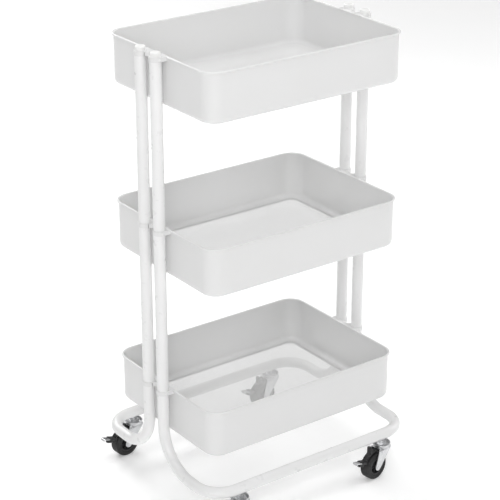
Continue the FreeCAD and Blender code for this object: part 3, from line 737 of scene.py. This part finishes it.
def hub_mesh():
    """A moulded wheel centre: boss, web, rim ring and radial ribs on both sides."""
    bm = bmesh.new()
    half = [(AXLE_BORE, BOSS_HALF - 0.3 * MM), (AXLE_BORE + 0.3 * MM, BOSS_HALF)]
    half += [(BOSS_RADIUS - 0.5 * MM, BOSS_HALF), (BOSS_RADIUS, BOSS_HALF - 0.5 * MM)]
    half += [(BOSS_RADIUS + 0.7 * MM, WEB_HALF + 0.6 * MM), (BOSS_RADIUS + 1.4 * MM, WEB_HALF)]
    half += [(HUB_RING - 1.4 * MM, WEB_HALF), (HUB_RING - 0.7 * MM, WEB_HALF + 0.6 * MM)]
    half += [(HUB_RING, HUB_HALF - 0.4 * MM), (HUB_RING + 0.4 * MM, HUB_HALF)]
    half += [(HUB_RADIUS - 0.4 * MM, HUB_HALF), (HUB_RADIUS, HUB_HALF - 0.4 * MM)]
    lathe_on_axle(bm, mirrored(half), HUB_SIDES)
    for side in (-1, 1):
        for i in range(RIB_COUNT):
            rib = bmesh.new()
            bmesh.ops.create_cube(rib, size=1.0)
            length, depth = HUB_RING - BOSS_RADIUS + 1 * MM, HUB_HALF - WEB_HALF - 1.5 * MM
            bmesh.ops.scale(rib, vec=(length, depth, RIB_THICKNESS), verts=rib.verts)
            ease_edges(rib, 0.3 * MM)
            shift = ((HUB_RING + BOSS_RADIUS) / 2, side * (WEB_HALF + depth / 2 - 0.2 * MM), 0)
            turn = Matrix.Rotation(math.radians(360 * i / RIB_COUNT), 4, "Y")
            rib.transform(turn @ Matrix.Translation(shift))
            rib.transform(Matrix.Translation((AXLE[0], 0, AXLE[1])))
            copy_into(rib, bm)
    return mesh_from(bm, "hub", 40)


def copy_into(source, target):
    """Move one bmesh's faces into another."""
    mesh = bpy.data.meshes.new("part")
    source.to_mesh(mesh)
    source.free()
    target.from_mesh(mesh)
    bpy.data.meshes.remove(mesh)


def strip_ring(centre, normal, first, last, thickness):
    """Eight points around a flat strip's section, its four long edges eased."""
    half, ease = normal * (thickness / 2), min(PRESS_EDGE, (last - first).length / 3)
    inward = (last - first).normalized() * ease
    thin = normal * (thickness / 2 - PRESS_EDGE)
    return [
        centre + first + inward + half, centre + last - inward + half,
        centre + last + thin, centre + last - thin,
        centre + last - inward - half, centre + first + inward - half,
        centre + first - thin, centre + first + thin,
    ]


def closed_skin(bm, rings):
    """Skin the rings and close both ends."""
    rows = skin(bm, rings)
    bm.faces.new(rows[0])
    bm.faces.new(rows[-1])


def touch_point(point, radius, side):
    """Where the line from a point touches the fork's round foot."""
    dx, dz = point[0] - AXLE[0], point[1] - AXLE[1]
    angle = math.atan2(dz, dx) + side * math.acos(radius / math.hypot(dx, dz))
    return AXLE[0] + radius * math.cos(angle), AXLE[1] + radius * math.sin(angle)


def leg_edges(z):
    """How far a fork leg reaches forward and back at this height."""
    top = CROWN_Z + FORK_SHEET / 2
    reach = []
    for start, side, sign in ((FORK_FRONT, 1, -1), (FORK_BACK, -1, 1)):
        touch = touch_point((start, top), FORK_FOOT, side)
        if z > touch[1]:
            reach.append(start + (touch[0] - start) * (top - z) / (top - touch[1]))
        else:
            reach.append(AXLE[0] + sign * math.sqrt(max(FORK_FOOT ** 2 - (z - AXLE[1]) ** 2, 1e-10)))
    return reach


def fork_mesh():
    """One pressed strip bent into two legs, under a dished crown with a flared lip."""
    top = CROWN_Z + FORK_SHEET / 2
    path = [(AXLE[1] - FORK_FOOT * math.cos(math.radians(a)), 0.0) for a in range(4, 91, 6)]
    path += [(AXLE[1] + (top - FORK_BEND - AXLE[1]) * i / 8, 0.0) for i in range(1, 9)]
    path += [(top - FORK_BEND + FORK_BEND * math.sin(math.radians(a)), a) for a in range(10, 90, 10)]
    rings = []
    for side in (-1, 1):
        half = []
        for z, lean in path:
            angle = math.radians(lean)
            across = FORK_HALF - FORK_BEND * (1 - math.cos(angle))
            normal = Vector((0, side * math.cos(angle), math.sin(angle)))
            share = 1 - math.cos(angle)
            front, back = leg_edges(z)
            front += (-FORK_PLATE - front) * share
            back += (FORK_PLATE - back) * share
            centre = Vector((0, side * across, z))
            half.append(strip_ring(centre, normal, Vector((front, 0, 0)), Vector((back, 0, 0)), FORK_SHEET))
        rings += half if side < 0 else half[::-1]
    bm = bmesh.new()
    closed_skin(bm, rings)
    floor, lip, low = CROWN_Z + FORK_SHEET, CROWN_Z + CROWN_HEIGHT, CROWN_RADIUS - CROWN_FLARE
    lip_inside, low_inside = CROWN_RADIUS - CROWN_WALL, low - CROWN_WALL
    profile = [(CROWN_HOLE, CROWN_Z - 0.05 * MM), (low - 1.2 * MM, CROWN_Z - 0.05 * MM)]
    profile += [(low - 0.3 * MM, CROWN_Z + 0.4 * MM), (low + 0.1 * MM, CROWN_Z + 1.4 * MM)]
    profile += [(CROWN_RADIUS, lip - 0.5 * MM), (CROWN_RADIUS - 0.2 * MM, lip - 0.1 * MM)]
    profile += [(CROWN_RADIUS - CROWN_WALL / 2, lip), (lip_inside + 0.2 * MM, lip - 0.1 * MM)]
    profile += [(lip_inside, lip - 0.5 * MM), (low_inside + 0.2 * MM, floor + 1.2 * MM)]
    profile += [(low_inside - 0.4 * MM, floor + 0.3 * MM), (low_inside - 1.3 * MM, floor + 0.05 * MM)]
    profile += [(CROWN_HOLE, floor + 0.05 * MM)]
    lathe(bm, profile, HUB_SIDES, loop=True)
    return mesh_from(bm, "fork", 40)


def tab(bm, place, length, width, low, high, corner, ease):
    """A flat tab along +X from its root, its far corners rounded and all its edges eased."""
    half = width / 2
    outline = [(0, -half)] + arc((length - corner, corner - half), corner, 270, 360, 6)
    outline += arc((length - corner, half - corner), corner, 0, 90, 6) + [(0, half)]
    part = bmesh.new()
    bottom = [part.verts.new((x, y, low)) for x, y in outline]
    upper = [part.verts.new((x, y, high)) for x, y in outline]
    join_loops(part, bottom, upper)
    part.faces.new(bottom)
    part.faces.new(upper)
    bmesh.ops.recalc_face_normals(part, faces=part.faces)
    ease_edges(part, ease, 3, 50)
    part.transform(place)
    copy_into(part, bm)


def tilted(root, tilt_deg):
    """The place of a tab that starts at its root and rises by this angle behind the wheel."""
    return Matrix.Translation(root) @ Matrix.Rotation(math.radians(-tilt_deg), 4, "Y")


def arc_stations(radius, start_deg, end_deg, steps):
    """Points and outward directions along an arc about the axle."""
    stations = []
    for i in range(steps + 1):
        degrees = start_deg + (end_deg - start_deg) * i / steps
        outward = (about_axle(1, degrees) - about_axle(0, 0)).normalized()
        stations.append((about_axle(radius, degrees), outward))
    return stations


PEDAL_ROOT = about_axle(STRIP_RADIUS + STRIP_SHEET / 2, STRIP_DEG[0])


def pedal_mesh():
    """The bent steel strip: the shoe over the tread, then the pedal with its end bent down."""
    middle = STRIP_RADIUS + STRIP_SHEET / 2
    shoe = arc_stations(middle, STRIP_DEG[1], STRIP_DEG[0] + 3, 14)
    stations = [(point, outward, SHOE_HALF) for point, outward in shoe]
    place = tilted(PEDAL_ROOT, PEDAL_TILT)
    ahead, up = place.col[0].xyz, place.col[2].xyz
    straight = PEDAL_LENGTH - STRIP_SHEET / 2 - PEDAL_BEND
    between = (stations[-1][1] + up).normalized()
    stations.append((place @ Vector((0.3 * MM, 0, 0)), between, SHOE_HALF + 0.6 * MM))
    for share in (0.08, 0.2, 0.5, 0.8):
        stations.append((place @ Vector((straight * share, 0, 0)), up, PEDAL_HALF))
    centre = place @ Vector((straight, 0, -PEDAL_BEND))
    for degrees in range(0, 91, 15):
        normal = ahead * math.sin(math.radians(degrees)) + up * math.cos(math.radians(degrees))
        stations.append((centre + normal * PEDAL_BEND, normal, PEDAL_HALF))
    lip = PEDAL_LIP - PEDAL_BEND
    for degrees in range(0, 90, 15):
        drop = lip - PEDAL_CORNER * (1 - math.sin(math.radians(degrees)))
        half = PEDAL_HALF - PEDAL_CORNER * (1 - math.cos(math.radians(degrees)))
        stations.append((centre + ahead * PEDAL_BEND - up * drop, ahead, half))
    rings = [strip_ring(point, normal, Vector((0, -half, 0)), Vector((0, half, 0)), STRIP_SHEET)
             for point, normal, half in stations]
    bm = bmesh.new()
    closed_skin(bm, rings)
    return mesh_from(bm, "pedal", 40)


def rocker_mesh():
    """Black plastic: barrel on the pin, band over the tread, ridged release horn, collar and pedal pad."""
    bm = bmesh.new()
    bore, ease = 1.7 * MM, 1.2 * MM
    profile = [(bore, -BARREL_HALF), (BARREL_RADIUS - ease, -BARREL_HALF)]
    profile += [(BARREL_RADIUS, ease - BARREL_HALF), (BARREL_RADIUS, BARREL_HALF - ease)]
    profile += [(BARREL_RADIUS - ease, BARREL_HALF), (bore, BARREL_HALF)]
    lathe(bm, profile, 32, loop=True)
    bm.transform(Matrix.Translation((PIVOT[0], 0, PIVOT[1])) @ Matrix.Rotation(math.radians(-90), 4, "X"))
    middle = STRIP_RADIUS + STRIP_SHEET + BAND_SHEET / 2
    pivot_deg = math.degrees(math.atan2(PIVOT[1] - AXLE[1], PIVOT[0] - AXLE[0]))
    side = Vector((0, BAND_HALF, 0))
    rings = [strip_ring(point, out, -side, side, BAND_SHEET)
             for point, out in arc_stations(middle, STRIP_DEG[0] + 1, pivot_deg - 2, 26)]
    closed_skin(bm, rings)
    horn = tilted(about_axle(middle, HORN_DEG), HORN_TILT)
    width, thickness = HORN_SIZE
    tab(bm, horn, HORN_LENGTH, width, -thickness / 2, thickness / 2, HORN_CORNER, 0.6 * MM)
    reach = Vector((0, width / 2 - RIDGE_INSET, 0))
    for i in range(RIDGE_COUNT):
        for face in (-1, 1):
            ridge = horn @ Matrix.Translation((RIDGE_START + RIDGE_PITCH * i, 0, face * thickness / 2))
            rod(bm, ridge @ -reach, ridge @ reach, RIDGE_RADIUS, 10)
    pedal = tilted(PEDAL_ROOT, PEDAL_TILT)
    tab(bm, pedal, *COLLAR_SIZE, *COLLAR_HEIGHTS, 0.6 * MM, 0.5 * MM)
    pad = pedal @ Matrix.Translation((PAD_START, 0, 0))
    tab(bm, pad, *PAD_SIZE, -PAD_DEPTH, -STRIP_SHEET / 2, PAD_CORNER, 0.7 * MM)
    return mesh_from(bm, "rocker", 45)


def place_casters():
    """Five pieces per caster, made once and copied to each caster's place and heading."""
    kinds = (("tyre", tyre_mesh(), "tyre_rubber", "wheel"), ("hub", hub_mesh(), "black_plastic", "wheel"),
             ("fork", fork_mesh(), "zinc_steel", "swivel"),
             ("brake_pedal", pedal_mesh(), "zinc_steel", "brake"),
             ("brake_rocker", rocker_mesh(), "black_plastic", "brake"))
    for caster in CASTERS:
        place = caster_place(caster)
        for kind, shape, slot, body in kinds:
            mesh = shape.copy()
            mesh.transform(place)
            piece(f"{caster}_{kind}", mesh, slot, f"{caster}_{body}", [f"caster_{caster}_{kind}"])


# ---- build -------------------------------------------------------------------------------------------

for tier in TIERS:
    make_tray(tier)
    for side in SIDES:
        make_bracket(tier, side)
for tier in MESH_TIERS:
    make_wire_floor(tier)
place_rivets()
for end in ENDS:
    make_base_tube(end)
for end, side in CORNERS:
    make_upper_tube(end, side)
    make_cap(end, side)
place_casters()

# CAD nodes that keep their own shape get these materials
for part in frame["record"]["subparts"]:
    for slot in frame["nodes"][part["node"]].material_slots:
        slot.material = MATERIALS[part["material_slot"]]

# ---- stage, light and camera -------------------------------------------------------------------------

GROUND = 40.0                        # from the middle to each side
ground_corners = [(-GROUND, -GROUND, 0), (GROUND, -GROUND, 0), (GROUND, GROUND, 0), (-GROUND, GROUND, 0)]
floor_mesh = bpy.data.meshes.new("floor")
floor_mesh.from_pydata(ground_corners, [], [(0, 1, 2, 3)])
floor = bpy.data.objects.new("floor", floor_mesh)
bpy.context.scene.collection.objects.link(floor)
paper = Finish("white_ground", IOR=1.3)
paper.colour(paper.noise(2.0), (0.93, 0.93, 0.93), (0.95, 0.95, 0.95))
paper.shader.inputs["Roughness"].default_value = 0.9
# Painted light: the ground glows white, at 0.16 near the cart, which pales its shadows there, rising to 0.8 far
# out so that it ends white.
paper.shader.inputs["Emission Color"].default_value = (1, 1, 1, 1)
paper.glow(2.5, 6.0, 0.16, 0.8)
floor_mesh.materials.append(paper.material)

world = bpy.data.worlds.new("studio")
bpy.context.scene.world = world
world.use_nodes = True
world.node_tree.nodes["Background"].inputs["Color"].default_value = (1, 1, 1, 1)
world.node_tree.nodes["Background"].inputs["Strength"].default_value = 0.1


def softbox(name, location, target, size, watts):
    data = bpy.data.lights.new(name, "AREA")
    data.shape = "RECTANGLE"
    data.size, data.size_y = size
    data.energy = watts
    lamp = bpy.data.objects.new(name, data)
    bpy.context.scene.collection.objects.link(lamp)
    lamp.location = location
    lamp.rotation_euler = (Vector(target) - Vector(location)).to_track_quat("-Z", "Y").to_euler()


# Each softbox: place, what it faces, width and height, watts. The front left one is the key.
CART_MIDDLE = (0, 0, 0.4)
softbox("front", (1.2, -3.2, 2.6), CART_MIDDLE, (2.4, 2.2), 10)
softbox("front_left", (-2.4, -3.0, 2.3), CART_MIDDLE, (1.8, 2.2), 74)
softbox("left", (-3.4, -0.3, 1.8), CART_MIDDLE, (2.4, 2.2), 4)
softbox("right", (3.4, -0.5, 1.8), CART_MIDDLE, (2.4, 2.2), 46)
softbox("back", (0, 3.4, 2.6), CART_MIDDLE, (2.4, 2.2), 85)
softbox("overhead", (0, 0, 3.4), (0, 0, 0.3), (3.0, 3.0), 58)

camera_data = bpy.data.cameras.new("camera")
camera = bpy.data.objects.new("camera", camera_data)
bpy.context.scene.collection.objects.link(camera)
CAMERA_PLACE = (-1.6348, -2.2125, 1.6062)
CAMERA_AIM = (0.54304, 0.74096, -0.39508)
camera_data.sensor_width = 36
camera_data.lens = 123.5
camera.location = CAMERA_PLACE
camera.rotation_euler = Vector(CAMERA_AIM).to_track_quat("-Z", "Y").to_euler()
bpy.context.scene.camera = camera
bpy.context.scene.view_settings.view_transform = "Standard"
